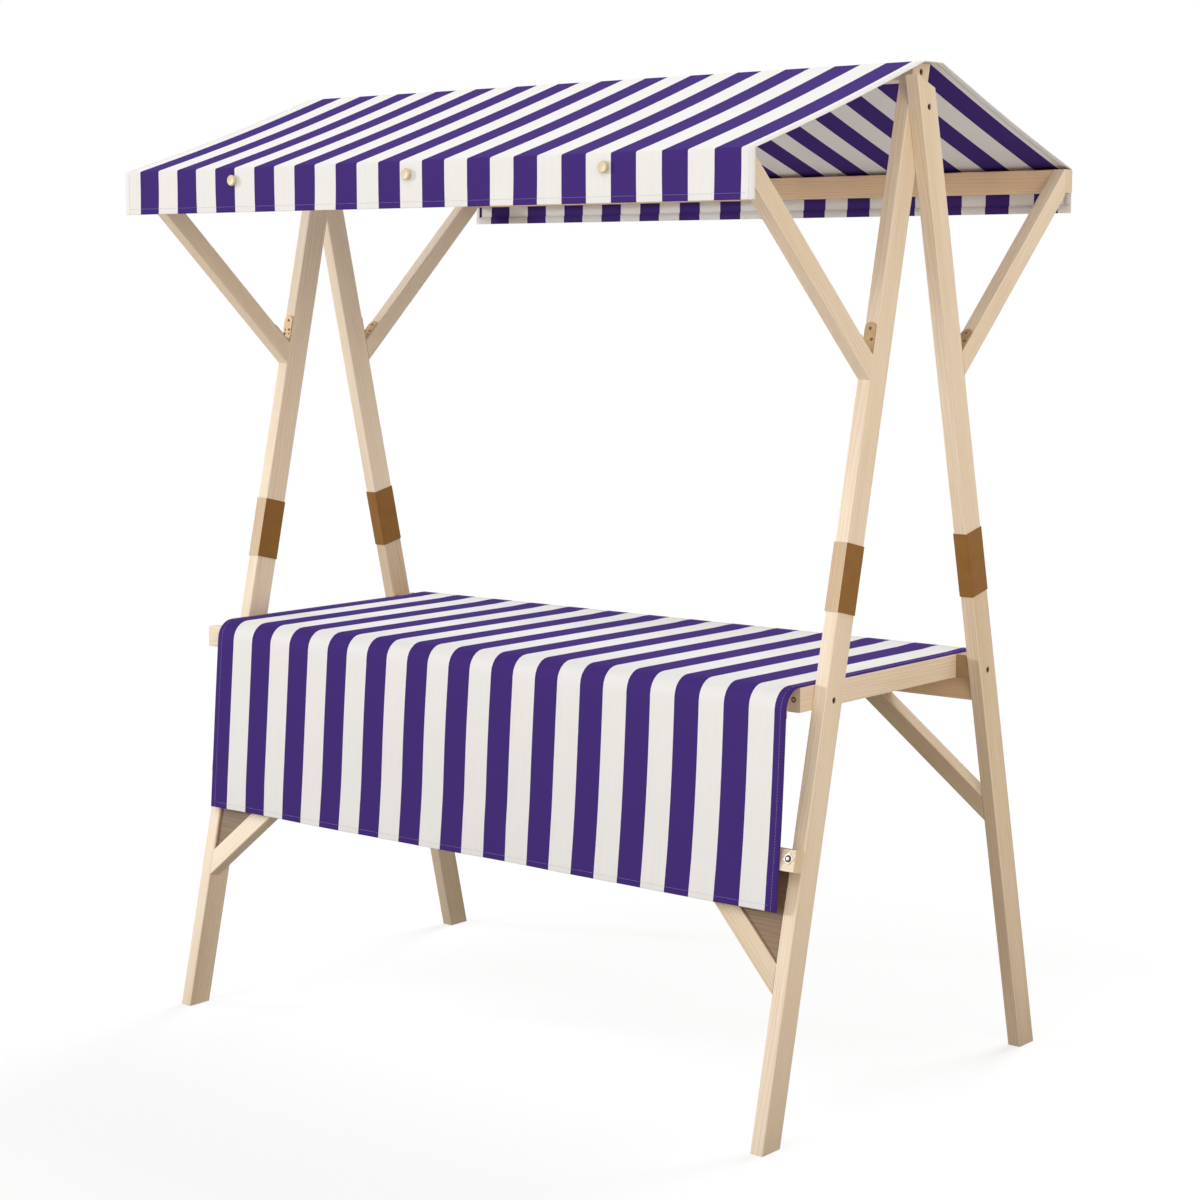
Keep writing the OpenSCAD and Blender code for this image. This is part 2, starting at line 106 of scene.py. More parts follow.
def planed_pine(name, pale="#ecdbc5", dark="#d5be9d", end="#ccb390", edge="#f1e5d3"):
    """Gives one timber bare planed pine, its cut ends in a tone of their own and a painted highlight on
    its eased edges.
    """
    # The eye gets a matt surface with soft streaks along the timber, each board a little different.
    # Real fibres are finer and are drawn this coarse so that they show.
    ring_width = 0.0055
    fibre_width = 0.0016
    fibre_length = 0.11
    cloud_length = 0.5
    cloud_width = 0.05
    ring_wander = 0.022
    ring_sharpness = 2.5
    ring_share = 0.42
    cloud_share = 0.9
    grain_relief = 0.0002
    # The timber's length is the direction that the least of its surface faces
    spread = sum(f.area * np.outer(f.normal, f.normal) for f in nodes[name].data.polygons)
    along, side = np.linalg.eigh(spread)[1].T[:2]
    turn = Matrix((along, side, np.cross(along, side))).to_euler()
    chance = random.Random(name)
    start = [chance.uniform(-2, 2) for axis in "xyz"]
    sawn = chance.uniform(0.5, 1.1)
    tone = chance.uniform(0.96, 1.03)
    material, tree, shader = new_material("planed_pine_" + name, IOR=1.5)
    where = put(tree, "TexCoord", {}).outputs
    stock = put(tree, "Mapping", {"Vector": where["Object"], "Location": start,
                                  "Rotation": turn}).outputs[0]
    wide = (1 / cloud_length, 1 / cloud_width, 1 / cloud_width)
    drift = put(tree, "Mapping", {"Vector": stock, "Scale": wide}).outputs[0]
    bend = put(tree, "TexNoise", {"Vector": drift, "Scale": 1.0, "Detail": 2.0}).outputs["Color"]
    grown = put(tree, "VectorMath", {0: bend, 1: (0, ring_wander, ring_wander), 2: stock},
                operation="MULTIPLY_ADD").outputs[0]
    cut = put(tree, "Mapping", {"Vector": grown, "Rotation": (sawn, 0, 0)}).outputs[0]
    rings = put(tree, "TexWave", {"Vector": cut, "Scale": bands(ring_width), "Distortion": 0.0},
                bands_direction="Y", wave_profile="SAW").outputs["Fac"]
    late = put(tree, "Math", {0: rings, 1: ring_sharpness}, operation="POWER").outputs[0]
    thin = (1 / fibre_length, 1 / fibre_width, 1 / fibre_width)
    drawn = put(tree, "Mapping", {"Vector": stock, "Scale": thin}).outputs[0]
    fibre = put(tree, "TexNoise", {"Vector": drawn, "Scale": 1.0, "Detail": 3.0}).outputs["Fac"]
    cloud = put(tree, "TexNoise", {"Vector": drift, "Scale": 0.7, "Detail": 1.0}).outputs["Fac"]
    both = put(tree, "Math", {0: late, 1: ring_share, 2: fibre}, operation="MULTIPLY_ADD").outputs[0]
    all_three = put(tree, "Math", {0: cloud, 1: cloud_share, 2: both},
                    operation="MULTIPLY_ADD").outputs[0]
    amount = put(tree, "MapRange", {"Value": all_three, "From Min": 0.7, "From Max": 1.6}).outputs[0]
    wood = put(tree, "Mix", {0: amount, 6: linear(pale), 7: linear(dark)}, data_type="RGBA").outputs[2]
    facing = put(tree, "Mapping", {"Vector": where["Normal"], "Rotation": turn},
                 vector_type="VECTOR").outputs[0]
    lie = put(tree, "SeparateXYZ", {0: facing}).outputs
    ended = put(tree, "Math", {0: lie["X"]}, operation="ABSOLUTE").outputs[0]
    on_end = put(tree, "MapRange", {"Value": ended, "From Min": 0.6, "From Max": 0.95,
                                    "To Max": 0.5}).outputs[0]
    wood = put(tree, "Mix", {0: on_end, 6: wood, 7: linear(end)}, data_type="RGBA").outputs[2]
    # Faces that turn round the eased edges are lightened towards the edge colour: a painted highlight
    corner = put(tree, "Math", {0: lie["Y"], 1: lie["Z"]}, operation="MULTIPLY").outputs[0]
    eased = put(tree, "Math", {0: corner}, operation="ABSOLUTE").outputs[0]
    painted_edge_highlight = put(tree, "MapRange", {"Value": eased, "From Min": 0.1, "From Max": 0.45,
                                     "To Max": 0.5}).outputs[0]
    wood = put(tree, "Mix", {0: painted_edge_highlight, 6: wood, 7: linear(edge)}, data_type="RGBA").outputs[2]
    toned = put(tree, "HueSaturation", {"Value": tone, "Color": wood}).outputs[0]
    rough = put(tree, "MapRange", {"Value": fibre, "To Min": 0.55, "To Max": 0.75}).outputs[0]
    bump = put(tree, "Bump", {"Height": both, "Strength": 0.35, "Distance": grain_relief}).outputs[0]
    tree.links.new(toned, shader.inputs["Base Color"])
    tree.links.new(rough, shader.inputs["Roughness"])
    tree.links.new(bump, shader.inputs["Normal"])
    nodes[name].material_slots[0].material = material


# The lower halves at the rear are given a darker pine: painted shade, where they stand in the shade
# under the counter
painted_shade_cut = {"pale": "#d9c6ac", "dark": "#bfa682"}
for corner in CORNERS:
    planed_pine(corner + "_leg_lower", **(painted_shade_cut if "rear" in corner else {}))
    planed_pine(corner + "_leg_upper")

# How the front legs lean, from where the right one stands to its top
floor_level = 0.0005
foot = [v.co.y for v in nodes["right_front_leg_lower"].data.vertices if v.co.z < floor_level]
leg_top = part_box("right_front_leg_upper")[1]
lean = math.atan2(leg_top.y - max(foot), leg_top.z)
leg_up = Vector((0, math.sin(lean), math.cos(lean)))
leg_out = Vector((0, -math.cos(lean), math.sin(lean)))

# SLEEVES
# A folded brown steel channel holds the two halves of each leg, lacquered satin and a little mottled.
# A tan wooden plate lies between its edges, on the side of the leg that faces away from the stall.
mottle_size = 0.035
peel_size = 0.003
peel_relief = 0.0002
lacquer, tree, shader = new_material("brown_lacquered_steel", Specular_IOR_Level=0.2)
where = put(tree, "TexCoord", {}).outputs["Object"]
mottle = put(tree, "TexNoise", {"Vector": where, "Scale": 1 / mottle_size,
                                "Detail": 4.0}).outputs["Fac"]
coat = put(tree, "Mix", {0: mottle, 6: linear("#7d5622"), 7: linear("#91662d")},
           data_type="RGBA").outputs[2]
satin = put(tree, "MapRange", {"Value": mottle, "To Min": 0.5, "To Max": 0.65}).outputs[0]
peel = put(tree, "TexNoise", {"Vector": where, "Scale": 1 / peel_size, "Detail": 1.0}).outputs["Fac"]
skin = put(tree, "Bump", {"Height": peel, "Strength": 0.15, "Distance": peel_relief}).outputs[0]
tree.links.new(coat, shader.inputs["Base Color"])
tree.links.new(satin, shader.inputs["Roughness"])
tree.links.new(skin, shader.inputs["Normal"])
for corner in CORNERS:
    nodes[corner + "_sleeve"].material_slots[0].material = lacquer
    # The plate's edge colour is a painted highlight, as on all the pine
    planed_pine(corner + "_plate", pale="#cfb798", dark="#b5956f", end="#a2835c", edge="#dac9af")

# ROOF FRAME
# A ridge beam between the front legs, an eave rail at the front and the back, and four struts:
# the same planed pine as the legs, bolted and screwed together. The rear rail has a warmer tone of the
# pine as painted warm shade, where it lies in the shade at the back, and pale sawn ends.
planed_pine("ridge_beam")
warm_shade_cut = {"pale": "#e9c9a5", "dark": "#d2ae84", "end": "#d9d1c2", "edge": "#eed2b1"}
planed_pine("front_eave_rail")
planed_pine("rear_eave_rail", **warm_shade_cut)
for corner in CORNERS:
    planed_pine(corner + "_strut")

# STRAPS
# A bent steel strap with round ends holds each strut in its corner with the leg, bronzed and dull,
# fixed with three round-headed screws of browned steel to each leaf.
tarnish_size = 0.012
bronze, tree, shader = new_material("bronzed_steel", Metallic=0.3)
where = put(tree, "TexCoord", {}).outputs["Object"]
tarnish = put(tree, "TexNoise", {"Vector": where, "Scale": 1 / tarnish_size,
                                 "Detail": 5.0}).outputs["Fac"]
tint = put(tree, "Mix", {0: tarnish, 6: linear("#a58256"), 7: linear("#c9ac82")},
           data_type="RGBA").outputs[2]
dull = put(tree, "MapRange", {"Value": tarnish, "To Min": 0.38, "To Max": 0.62}).outputs[0]
tree.links.new(tint, shader.inputs["Base Color"])
tree.links.new(dull, shader.inputs["Roughness"])
for corner in CORNERS:
    nodes[corner + "_strap"].material_slots[0].material = bronze


def edit_all():
    """Goes into edit mode on the active piece with everything selected."""
    bpy.ops.object.mode_set(mode="EDIT")
    bpy.ops.mesh.select_all(action="SELECT")


def ease_edges(piece, width):
    """Rounds the sharp edges of a piece."""
    ease = piece.modifiers.new("ease", "BEVEL")
    ease.width = width
    ease.segments = 2
    ease.limit_method = "ANGLE"
    ease.angle_limit = math.radians(40)
    bpy.context.view_layer.objects.active = piece
    bpy.ops.object.modifier_apply(modifier=ease.name)


def cut_from(piece, cutter):
    """Cuts one piece out of another and removes the cutter."""
    cut = piece.modifiers.new("cut", "BOOLEAN")
    cut.operation = "DIFFERENCE"
    cut.object = cutter
    cut.solver = "EXACT"
    bpy.context.view_layer.objects.active = piece
    bpy.ops.object.modifier_apply(modifier=cut.name)
    bpy.data.objects.remove(cutter)


def copies(pattern, name, places):
    """One piece of joined copies of a pattern piece, which is then removed."""
    bpy.ops.object.select_all(action="DESELECT")
    made = []
    for place in places:
        copy = pattern.copy()
        copy.data = pattern.data.copy()
        copy.data.transform(place)
        bpy.context.collection.objects.link(copy)
        copy.select_set(True)
        made.append(copy)
    bpy.context.view_layer.objects.active = made[0]
    bpy.ops.object.join()
    bpy.data.objects.remove(pattern)
    made[0].name = name
    bpy.ops.object.shade_smooth_by_angle(angle=math.radians(35))
    bpy.ops.object.select_all(action="DESELECT")
    return made[0]


def stand(at, out, up):
    """The place of a fitting: its own Z points out of the surface and its own Y points up it."""
    return Matrix.Translation(at) @ Matrix((up.cross(out), up, out)).transposed().to_4x4()


strap_thick = 0.003
strap_length = 0.070
strap_width = 0.027
screw_hole = 0.005
head_radius = 0.0035
head_height = 0.0016
slot_length = 1.2 * head_radius
slot_width = 0.25 * head_radius
slot_depth = 0.45 * head_height
merge_distance = 0.00001
bpy.ops.mesh.primitive_uv_sphere_add(segments=24, ring_count=14, radius=head_radius)
screw = bpy.context.object
edit_all()
bpy.ops.transform.resize(value=(1, 1, head_height / head_radius))
bpy.ops.object.mode_set(mode="OBJECT")
for slot_x, slot_y in ((slot_length, slot_width), (slot_width, slot_length)):
    bpy.ops.mesh.primitive_cube_add(size=1)
    edit_all()
    bpy.ops.transform.resize(value=(slot_x, slot_y, 2 * slot_depth))
    bpy.ops.transform.translate(value=(0, 0, head_height))
    bpy.ops.object.mode_set(mode="OBJECT")
    cut_from(screw, bpy.context.object)
edit_all()
bpy.ops.mesh.remove_doubles(threshold=merge_distance)
bpy.ops.object.mode_set(mode="OBJECT")

strut_low, strut_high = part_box("right_front_strut")
corner_y = strut_high.y
corner_z = (corner_y - min(foot)) / math.tan(lean)
strut_out = Vector((0, strut_low.y - corner_y, strut_high.z - corner_z)).normalized()
strut_face = Vector((0, strut_out.z, -strut_out.y))
tip = strap_length - strap_width / 2
holes = [(0, tip)] + [(s * strap_width / 4, tip / 2 + s * screw_hole) for s in (-1, 1)]
strap_middle = {}
for corner in CORNERS:
    low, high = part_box(corner + "_strap")
    strap_middle[corner] = (low.x + high.x) / 2
screw_places = []
for corner in CORNERS:
    turn_over = Matrix.Scale(-1 if "rear" in corner else 1, 4, (0, 1, 0))
    for up, out in ((leg_up, leg_out), (strut_out, strut_face)):
        for across, along in holes:
            bend = Vector((strap_middle[corner] + across, corner_y, corner_z))
            at = bend + up * along + out * strap_thick
            screw_places.append(stand(turn_over @ at, turn_over @ out, turn_over @ up))


def oxidised_steel(name, dark, pale):
    """Steel with a thin waxed oxide skin, dull and a little cloudy."""
    cloud_size = 0.003
    material, tree, shader = new_material(name, Metallic=0.4)
    where = put(tree, "TexCoord", {}).outputs["Object"]
    oxide = put(tree, "TexNoise", {"Vector": where, "Scale": 1 / cloud_size,
                                   "Detail": 3.0}).outputs["Fac"]
    cloudy = put(tree, "Mix", {0: oxide, 6: linear(dark), 7: linear(pale)}, data_type="RGBA").outputs[2]
    waxed = put(tree, "MapRange", {"Value": oxide, "To Min": 0.4, "To Max": 0.65}).outputs[0]
    tree.links.new(cloudy, shader.inputs["Base Color"])
    tree.links.new(waxed, shader.inputs["Roughness"])
    return material


brown = oxidised_steel("browned_steel", "#6a4b2e", "#936f48")
strap_screws = copies(screw, "strap_screws", screw_places)
strap_screws.data.materials.append(brown)
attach(strap_screws, "root")

# BOLTS
# Socket-headed bolts fill the recesses of the legs: one at the counter on every leg, one where the
# legs of an end cross, and one through each front leg into the ridge beam. Blackened steel.
recess_depth = 0.010
bolt_radius = 0.0066
bolt_height = 0.0075
socket_radius = 0.0034
socket_depth = 0.003
socket_cutter = 0.007
bolt_drop = 0.033


def turned_disc(radius, height, sides, bore=0.0, ease=0.0005):
    """A disc or plate that stands on its own XY plane, with eased edges and a round bore."""
    bpy.ops.mesh.primitive_cylinder_add(vertices=sides, radius=radius, depth=height,
                                        location=(0, 0, height / 2))
    disc = bpy.context.object
    bpy.ops.object.transform_apply(location=True)
    ease_edges(disc, ease)
    if bore:
        bpy.ops.mesh.primitive_cylinder_add(vertices=32, radius=bore, depth=4 * height)
        cut_from(disc, bpy.context.object)
    return disc


bolt = turned_disc(bolt_radius, bolt_height, 32)
bpy.ops.mesh.primitive_cylinder_add(vertices=6, radius=socket_radius, depth=socket_cutter,
                                    location=(0, 0, bolt_height - socket_depth + socket_cutter / 2))
cut_from(bolt, bpy.context.object)


def recess_at(node, z):
    """The middle of a bolt recess in the outer face of a leg, at a height."""
    low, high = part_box(node)
    row = -1 if "front" in node else 1
    across = (min(foot) + max(foot)) / 2 + z * math.tan(lean)
    outer = high.x if high.x > 0 else low.x
    return Vector((outer, -row * across, z))


table_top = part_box("right_end_rail")[1].z
ridge_low, ridge_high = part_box("ridge_beam")
cross_z = -(min(foot) + max(foot)) / 2 / math.tan(lean)
bolt_spots = [recess_at(corner + "_leg_lower", table_top - bolt_drop) for corner in CORNERS]
bolt_spots += [recess_at(side + "_rear_leg_upper", cross_z) for side in SIDES]
bolt_spots += [recess_at(side + "_front_leg_upper", (ridge_low.z + ridge_high.z) / 2) for side in SIDES]
bolt_places = []
for spot in bolt_spots:
    out = Vector((math.copysign(1, spot.x), 0, 0))
    bolt_places.append(stand(spot - out * recess_depth, out, Vector((0, 0, 1))))
black = oxidised_steel("blackened_steel", "#2f2318", "#5a4635")
leg_bolts = copies(bolt, "leg_bolts", bolt_places)
leg_bolts.data.materials.append(black)
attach(leg_bolts, "root")

# COUNTER FRAME
# End rails on the insides of the legs, a rear rail and two battens under a board, a lower rail across
# the front legs and four knee braces: planed pine again. Brown boards with painted shade close the front
# corners.
for side in SIDES:
    planed_pine(side + "_end_rail")
    # Each spacer is a darker pine: painted shade for the recess between end rail and leg
    planed_pine(side + "_spacer", pale="#b4926d", dark="#987650", end="#8a6b47", edge="#b4926d")
# The rear counter rail is given the same warmer tone: painted warm shade
planed_pine("rear_table_rail", **warm_shade_cut)
for name in ("front_table_batten", "rear_table_batten", "counter_board", "front_lower_rail"):
    planed_pine(name)
# The braces on the right are given the darker pine too: painted shade
for corner in CORNERS:
    planed_pine(corner + "_brace", **(painted_shade_cut if "right" in corner else {}))
# The corner boards are brown, made darker still: painted shade for the shade under the counter cloth
planed_pine("front_gussets", pale="#896f55", dark="#69503c", end="#634a36", edge="#947b63")

# RAIL FITTINGS
# A bolt holds the lower rail to the right front leg: a square zinc-plated washer set cornerwise,
# a round blackened nut in it and the bolt's end. A browned threaded insert fills the hole in the
# right end rail. Zinc is bright and a little uneven.
spangle_size = 0.004
steel, tree, shader = new_material("zinc_plated_steel", Metallic=0.6)
where = put(tree, "TexCoord", {}).outputs["Object"]
spangle = put(tree, "TexNoise", {"Vector": where, "Scale": 1 / spangle_size,
                                 "Detail": 3.0}).outputs["Fac"]
zinc = put(tree, "Mix", {0: spangle, 6: linear("#d9d0c0"), 7: linear("#f2ecdf")},
           data_type="RGBA").outputs[2]
worn = put(tree, "MapRange", {"Value": spangle, "To Min": 0.3, "To Max": 0.5}).outputs[0]
tree.links.new(zinc, shader.inputs["Base Color"])
tree.links.new(worn, shader.inputs["Roughness"])
rail_low, rail_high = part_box("front_lower_rail")
leg_low, leg_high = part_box("right_front_leg_lower")
rail_points = [v.co for v in nodes["front_lower_rail"].data.vertices]
face_out = max(co.dot(leg_out) for co in rail_points)
face_up = [co.dot(leg_up) for co in rail_points]
above_middle = 0.004
nut_at = leg_out * face_out + leg_up * ((min(face_up) + max(face_up)) / 2 + above_middle)
nut_at.x = (leg_low.x + leg_high.x) / 2
nut_place = stand(nut_at, leg_out, leg_up)
washer_radius = 0.0135
washer_height = 0.0016
nut_radius = 0.0078
nut_height = 0.0020
stud_radius = 0.0037
stud_height = 0.0038
washer = copies(turned_disc(washer_radius, washer_height, 4, nut_radius), "rail_washer", [nut_place])
nut = copies(turned_disc(nut_radius, nut_height, 32, stud_radius), "rail_nut", [nut_place])
stud = copies(turned_disc(stud_radius, stud_height, 24, ease=0.001), "rail_bolt_end", [nut_place])
low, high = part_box("right_end_rail")
insert_at = Vector(((low.x + high.x) / 2, low.y, (low.z + high.z) / 2))
insert_place = stand(insert_at, Vector((0, -1, 0)), Vector((0, 0, 1)))
insert_radius = 0.0060
insert_height = 0.0010
core_radius = 0.0026
core_height = 0.0006
ring = turned_disc(insert_radius, insert_height, 32, core_radius, ease=0.0003)
insert = copies(ring, "rail_insert", [insert_place])
plug = turned_disc(core_radius, core_height, 24, ease=0.0002)
core = copies(plug, "rail_insert_core", [insert_place])
for fitting, finish in ((washer, steel), (nut, black), (stud, steel), (insert, brown), (core, steel)):
    fitting.data.materials.append(finish)
    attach(fitting, "root")

# CANOPY
# One striped canvas over the ridge and both slopes, with a valance outside each eave rail. It is pulled
# taut between the ridge beam and the rails, sags a little between them, and is hemmed all round.
STRIPE = 0.06444
CLOTH_THICK = 0.0006
HEM = 0.018
END_FOLD = 0.0008
EDGE_FOLD = 0.0024


def striped_canvas(name, first_purple, purple="#412c71", white="#e0dedb"):
    """Plain-woven canvas, purple and white stripes along its length, matt with a slight slub."""
    # Real yarns lie closer and are drawn this coarse so that the weave shows.
    yarn = 0.0018
    slub_length = 0.15
    weave_relief = 0.0003
    material, tree, shader = new_material(name, Roughness=0.9, Specular_IOR_Level=0.03)
    flat = put(tree, "TexCoord", {}).outputs["UV"]
    across = put(tree, "SeparateXYZ", {0: flat}).outputs["X"]
    shifted = put(tree, "Math", {0: across, 1: first_purple}, operation="SUBTRACT").outputs[0]
    counted = put(tree, "Math", {0: shifted, 1: 2 * STRIPE}, operation="DIVIDE").outputs[0]
    part = put(tree, "Math", {0: counted}, operation="FRACT").outputs[0]
    dyed = put(tree, "Math", {0: part, 1: 0.5}, operation="LESS_THAN").outputs[0]
    cloth = put(tree, "Mix", {0: dyed, 6: linear(white), 7: linear(purple)}, data_type="RGBA").outputs[2]
    long_way = put(tree, "Mapping", {"Vector": flat, "Scale": (1 / yarn, 1 / slub_length, 1)}).outputs[0]
    slub = put(tree, "TexNoise", {"Vector": long_way, "Scale": 1.0, "Detail": 2.0}).outputs["Fac"]
    bright = put(tree, "MapRange", {"Value": slub, "To Min": 0.93, "To Max": 1.05}).outputs[0]
    toned = put(tree, "HueSaturation", {"Value": bright, "Color": cloth}).outputs[0]
    yarns = {"Vector": flat, "Scale": bands(yarn)}
    warp = put(tree, "TexWave", yarns, bands_direction="X").outputs["Fac"]
    weft = put(tree, "TexWave", yarns, bands_direction="Y").outputs["Fac"]
    weave = put(tree, "Math", {0: warp, 1: weft}, operation="MULTIPLY").outputs[0]
    bump = put(tree, "Bump", {"Height": weave, "Strength": 0.3, "Distance": weave_relief}).outputs[0]
    tree.links.new(toned, shader.inputs["Base Color"])
    tree.links.new(bump, shader.inputs["Normal"])
    return material


def rounded(corners, step=0.02, turns=6):
    """Points, as y + zj, along a folded line whose corners (y, z, radius) are arcs."""
    points = [complex(*corner[:2]) for corner in corners]
    path = [points[0]]
    for before, here, after, corner in zip(points, points[1:], points[2:], corners[1:]):
        back = (before - here) / abs(before - here)
        ahead = (after - here) / abs(after - here)
        half = abs(np.angle(ahead / back)) / 2
        centre = here + (back + ahead) / abs(back + ahead) * corner[2] / math.sin(half)
        first = here + back * corner[2] / math.tan(half) - centre
        last = here + ahead * corner[2] / math.tan(half) - centre
        path += [centre + first * (last / first) ** (i / turns) for i in range(turns + 1)]
    path.append(points[-1])
    fine = [path[0]]
    for start, stop in zip(path, path[1:]):
        count = max(1, math.ceil(abs(stop - start) / step))
        fine += [start + (stop - start) * i / count for i in range(1, count + 1)]
    return np.array(fine)


class FoldedCloth:
    """One cloth folded along X over a line of corners, with its ends turned under as hems."""

    def __init__(self, corners, half_width, move):
        self.path = rounded(corners)
        self.run = np.concatenate(([0], np.cumsum(abs(np.diff(self.path)))))
        ahead = np.gradient(self.path)
        self.out = ahead / abs(ahead) * 1j
        self.half_width = half_width
        self.move = move

    def at(self, x, run, lift=0.0):
        """The point so far across and so far along the cloth, lifted off its middle."""
        here = np.interp(run, self.run, self.path) + lift * np.interp(run, self.run, self.out)
        return Vector((x, here.real, here.imag)) + Vector(self.move(x, here.real, here.imag))

    def columns(self, count):
        """Across the cloth: x, lift and flat position, with a hem turned under at both ends."""
        edge = self.half_width
        bend = END_FOLD / 2
        hem = [
            (-edge + HEM, -END_FOLD, -edge - HEM),
            (-edge + bend, -END_FOLD, -edge - bend),
            (-edge, -bend, -edge),
        ]
        inner = np.linspace(-edge + bend, edge - bend, count)
        other = [(-x, lift, -flat) for x, lift, flat in reversed(hem)]
        return hem + [(x, 0.0, x) for x in inner] + other

    def make(self, name, count=110):
        """The cloth as one mesh with its thickness, and its flat layout as UV in metres."""
        columns = self.columns(count)
        points = [self.at(x, run, lift) for run in self.run for x, lift, flat in columns]
        wide = len(columns)
        faces = []
        for r in range(len(self.run) - 1):
            for c in range(wide - 1):
                first = r * wide + c
                faces.append((first, first + 1, first + wide + 1, first + wide))
        mesh = bpy.data.meshes.new(name)
        mesh.from_pydata(points, [], faces)
        layout = mesh.uv_layers.new(name="flat")
        for loop in mesh.loops:
            r, c = divmod(loop.vertex_index, wide)
            layout.data[loop.index].uv = (columns[c][2], self.run[r])
        piece = bpy.data.objects.new(name, mesh)
        bpy.context.collection.objects.link(piece)
        bpy.ops.object.select_all(action="DESELECT")
        piece.select_set(True)
        bpy.context.view_layer.objects.active = piece
        wall = piece.modifiers.new("thickness", "SOLIDIFY")
        wall.thickness = CLOTH_THICK
        wall.offset = 0
        bpy.ops.object.modifier_apply(modifier=wall.name)
        bpy.ops.object.shade_smooth()
        bpy.ops.object.select_all(action="DESELECT")
        return piece

    def flat_size(self):
        """Width and length that the cloth was cut to."""
        return 2 * (self.half_width + HEM), float(self.run[-1])


def hem_lines(cloth):
    """Lines round a cloth just inside its hems' free edges, as (x, run) points one stitch apart."""
    pitch = 0.0065
    inset = 0.004
    half = cloth.half_width
    length = cloth.flat_size()[1]
    edge = 2 * HEM - inset
    end = half - HEM + inset
    across = np.arange(-half + HEM, half - HEM, pitch)
    along = np.arange(HEM + inset, length - HEM - inset, pitch)
    lines = [[(x, run) for x in across] for run in (edge, length - edge)]
    return lines + [[(x, run) for run in along] for x in (-end, end)]


def stitching(name, cloth):
    """Straight stitches that hold the hems of a cloth, each a small raised bar of thread."""
    length = 0.0042
    width = 0.0006
    height = 0.0004
    points = []
    faces = []
    for line in hem_lines(cloth):
        for (x, run), (next_x, next_run) in zip(line, line[1:]):
            low = cloth.at(x, run, CLOTH_THICK / 2)
            ahead = (cloth.at(next_x, next_run, CLOTH_THICK / 2) - low).normalized() * length
            up = (cloth.at(x, run, CLOTH_THICK) - low).normalized()
            across = ahead.cross(up).normalized() * width / 2
            base = len(points)
            top = ahead / 2 + up * height
            points += [low - across, low + across, low + ahead + across, low + ahead - across]
            points += [low + top - across / 2 - ahead / 4, low + top + across / 2 - ahead / 4]
            points += [low + top + across / 2 + ahead / 4, low + top - across / 2 + ahead / 4]
            sides = [(i, (i + 1) % 4, (i + 1) % 4 + 4, i + 4) for i in range(4)]
            for face in [(3, 2, 1, 0), (4, 5, 6, 7)] + sides:
                faces.append([base + i for i in face])
    mesh = bpy.data.meshes.new(name)
    mesh.from_pydata(points, [], faces)
    piece = bpy.data.objects.new(name, mesh)
    bpy.context.collection.objects.link(piece)
    piece.data.materials.append(thread)
    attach(piece, "root")
    return piece


# Spun polyester, a thin mauve line that is paler than the purple stripes and darker than the white
twist_size = 0.0008
thread, tree, shader = new_material("polyester_thread", Roughness=0.6)
where = put(tree, "TexCoord", {}).outputs["Object"]
twist = put(tree, "TexNoise", {"Vector": where, "Scale": 1 / twist_size}).outputs["Fac"]
spun = put(tree, "Mix", {0: twist, 6: linear("#857ba3"), 7: linear("#a9a1bd")},
           data_type="RGBA").outputs[2]
tree.links.new(spun, shader.inputs["Base Color"])

skin_gap = 0.0001
past_legs = 0.001
end_margin = 0.002
eave_round = 0.005
ridge_round = 0.012
clear = CLOTH_THICK / 2 + END_FOLD + skin_gap
eave_low, eave_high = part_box("front_eave_rail")
cloth_low, cloth_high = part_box("canopy_cloth")
eave_y = -eave_low.y + clear
eave_z = eave_high.z + clear
ridge_z = ridge_high.z + clear
hem_z = cloth_low.z
ridge_front = min(ridge_low.y, leg_top.y - (max(foot) - min(foot))) - past_legs
ridge_back = max(ridge_high.y, leg_top.y) + past_legs
canopy_line = [
    (-eave_y + EDGE_FOLD, hem_z + HEM, 0),
    (-eave_y + EDGE_FOLD, hem_z, EDGE_FOLD / 2),
    (-eave_y, hem_z, EDGE_FOLD / 2),
    (-eave_y, eave_z, eave_round),
    (ridge_front, ridge_z, ridge_round),
    (ridge_back, ridge_z, ridge_round),
    (eave_y, eave_z, eave_round),
    (eave_y, hem_z, EDGE_FOLD / 2),
    (eave_y - EDGE_FOLD, hem_z, EDGE_FOLD / 2),
    (eave_y - EDGE_FOLD, hem_z + HEM, 0),
]
canopy_half = cloth_high.x - end_margin


def clamped(share):
    """A share kept between 0 and 1."""
    return min(max(share, 0), 1)


def canopy_move(x, y, z):
    """How the canvas leaves its straight line: a sag on each slope and slow ripples in each valance."""
    # Depths in metres, waves in radians per metre
    sag_depth = 0.0035
    sag_uneven = 0.35
    sag_wave = 5.2
    sag_more_at_ends = 0.5
    ripple_depth = 0.0013
    slow_wave = 11
    quick_wave = 23
    quick_share = 0.6
    slope_foot = eave_z - 0.002
    ripple_start = eave_z - 0.05
    side = math.copysign(1, y)
    top = ridge_back if y > 0 else -ridge_front
    down_slope = clamped((abs(y) - top) / (eave_y - top))
    slack = 1 + sag_uneven * math.sin(sag_wave * x + side) + sag_more_at_ends * (x / canopy_half) ** 4
    sag = sag_depth * slack * math.sin(math.pi * down_slope) if z > slope_foot else 0
    drop = clamped((ripple_start - z) / (ripple_start - hem_z))
    waves = math.sin(slow_wave * x + 2 * side) + quick_share * math.sin(quick_wave * x - side)
    return 0, side * ripple_depth * drop * waves, -sag


canopy_cloth = FoldedCloth(canopy_line, canopy_half, canopy_move)
canopy = canopy_cloth.make("canopy")
canopy.data.materials.append(striped_canvas("woven_canvas_canopy", first_purple=-0.859))
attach(canopy, "root")
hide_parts("canopy_cloth")
canopy_stitches = stitching("canopy_stitching", canopy_cloth)

